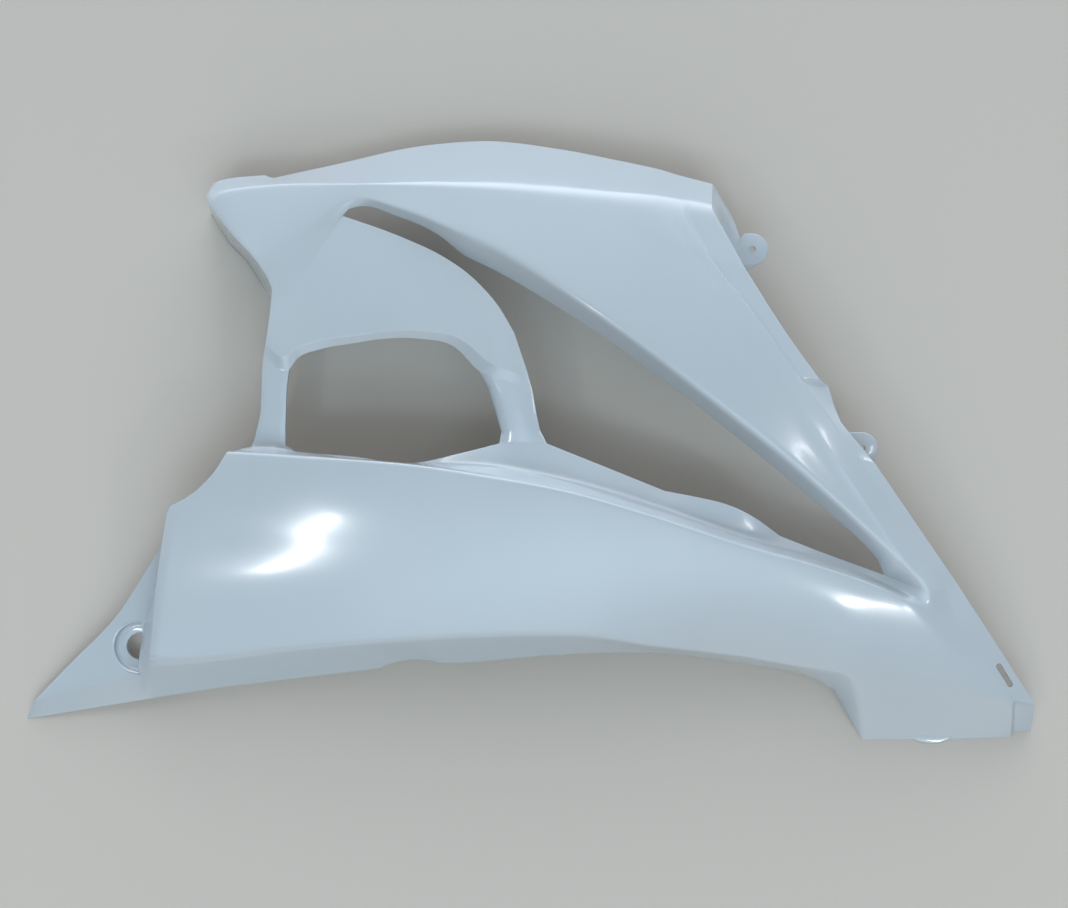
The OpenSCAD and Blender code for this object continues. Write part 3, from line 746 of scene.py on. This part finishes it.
def floor():
    """Plain pale floor."""
    mesh = bpy.data.meshes.new("floor")
    r = FLOOR_REACH
    mesh.from_pydata([(-r, -r, 0), (r, -r, 0), (r, r, 0), (-r, r, 0)], [], [[0, 1, 2, 3]])
    ground = new_object("floor", mesh)
    material = bpy.data.materials.new("pale_floor")
    material.use_nodes = True
    nodes = material.node_tree.nodes
    links = material.node_tree.links
    shader = nodes["Principled BSDF"]
    shader.inputs["Roughness"].default_value = 0.9
    shader.inputs["Specular IOR Level"].default_value = 0.2
    path = nodes.new("ShaderNodeLightPath")
    seen = nodes.new("ShaderNodeMath")
    seen.operation = "MAXIMUM"
    links.new(path.outputs["Is Camera Ray"], seen.inputs[0])
    links.new(path.outputs["Is Glossy Ray"], seen.inputs[1])
    colour = nodes.new("ShaderNodeMix")
    colour.data_type = "RGBA"
    colour.inputs["A"].default_value = FLOOR_BOUNCE
    colour.inputs["B"].default_value = FLOOR_SEEN
    links.new(seen.outputs["Value"], colour.inputs["Factor"])
    links.new(colour.outputs["Result"], shader.inputs["Base Color"])
    ground.data.materials.append(material)


def lamp(name, place, target, size, power):
    """Long soft lamp at a place, turned to a target."""
    light = bpy.data.lights.new(name, "AREA")
    light.shape = "RECTANGLE"
    light.size, light.size_y = size
    light.energy = power
    light.color = LAMP_COLOUR
    obj = bpy.data.objects.new(name, light)
    obj.location = place
    back = (Vector(place) - Vector(target)).normalized()
    along = (TUBE_WAY - back * TUBE_WAY.dot(back)).normalized()
    obj.rotation_euler = Matrix((along, back.cross(along), back)).transposed().to_euler()
    bpy.context.scene.collection.objects.link(obj)


def camera():
    """Camera straight above the photograph's middle."""
    data = bpy.data.cameras.new("camera")
    data.sensor_width = SENSOR
    data.lens = PIXELS_PER_TANGENT * SENSOR / PHOTO_W
    obj = bpy.data.objects.new("camera", data)
    obj.location = (MIDDLE[0] * MM, MIDDLE[1] * MM, CAMERA_HEIGHT)
    bpy.context.scene.collection.objects.link(obj)
    bpy.context.scene.camera = obj


def light():
    """Soft sky with the glow in it, and the lamps that give the panel its highlights."""
    world = bpy.data.worlds.new("studio")
    bpy.context.scene.world = world
    world.use_nodes = True
    nodes = world.node_tree.nodes
    links = world.node_tree.links
    sky = nodes["Background"]
    way = nodes.new("ShaderNodeTexCoord").outputs["Generated"]
    parts = nodes.new("ShaderNodeSeparateXYZ")
    links.new(way, parts.inputs["Vector"])

    def step(kind, a, b):
        m = nodes.new("ShaderNodeMath")
        m.operation = kind
        for socket, value in zip(m.inputs, (a, b)):
            if isinstance(value, float):
                socket.default_value = value
            else:
                links.new(value, socket)
        return m.outputs["Value"]

    side = step("ADD", parts.outputs["Y"], SKY_LEAN)
    square = step("MULTIPLY", side, side)
    sides = step("MULTIPLY", step("MULTIPLY", square, square), SKY_SIDES)
    tone = nodes.new("ShaderNodeMix")
    tone.data_type = "RGBA"
    tone.inputs["A"].default_value = SKY_WARM
    tone.inputs["B"].default_value = SKY_COOL
    links.new(step("MULTIPLY", parts.outputs["Y"], SKY_TURN), tone.inputs["Factor"])
    near = nodes.new("ShaderNodeVectorMath")
    near.operation = "DOT_PRODUCT"
    links.new(way, near.inputs[0])
    near.inputs[1].default_value = GLOW_WAY
    glow = step("POWER", step("MAXIMUM", near.outputs["Value"], 0.0), GLOW_FOCUS)

    def scaled(colour, amount):
        m = nodes.new("ShaderNodeVectorMath")
        m.operation = "SCALE"
        if isinstance(colour, tuple):
            m.inputs[0].default_value = colour
        else:
            links.new(colour, m.inputs[0])
        links.new(amount, m.inputs["Scale"])
        return m.outputs["Vector"]

    total = nodes.new("ShaderNodeVectorMath")
    links.new(scaled(tone.outputs["Result"], step("ADD", sides, SKY_TOP)), total.inputs[0])
    links.new(scaled(GLOW, glow), total.inputs[1])
    seen = nodes.new("ShaderNodeMix")
    seen.data_type = "RGBA"
    links.new(nodes.new("ShaderNodeLightPath").outputs["Is Camera Ray"], seen.inputs["Factor"])
    links.new(total.outputs["Vector"], seen.inputs["A"])
    seen.inputs["B"].default_value = BACKDROP
    links.new(seen.outputs["Result"], sky.inputs["Color"])
    for name, point, azimuth, height, size, power in LAMPS:
        a, e = math.radians(azimuth), math.radians(height)
        back = Vector((math.cos(e) * math.cos(a), math.cos(e) * math.sin(a), math.sin(e)))
        lamp(name, Vector(point) + back * LAMP_REACH, point, size, power)
    bpy.context.scene.view_settings.view_transform = "Standard"


camera()
floor()
light()
moulding = fairing()
moulding.data.materials.clear()
moulding.data.materials.append(white_plastic())
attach(moulding, "root")
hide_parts("fairing_panel")
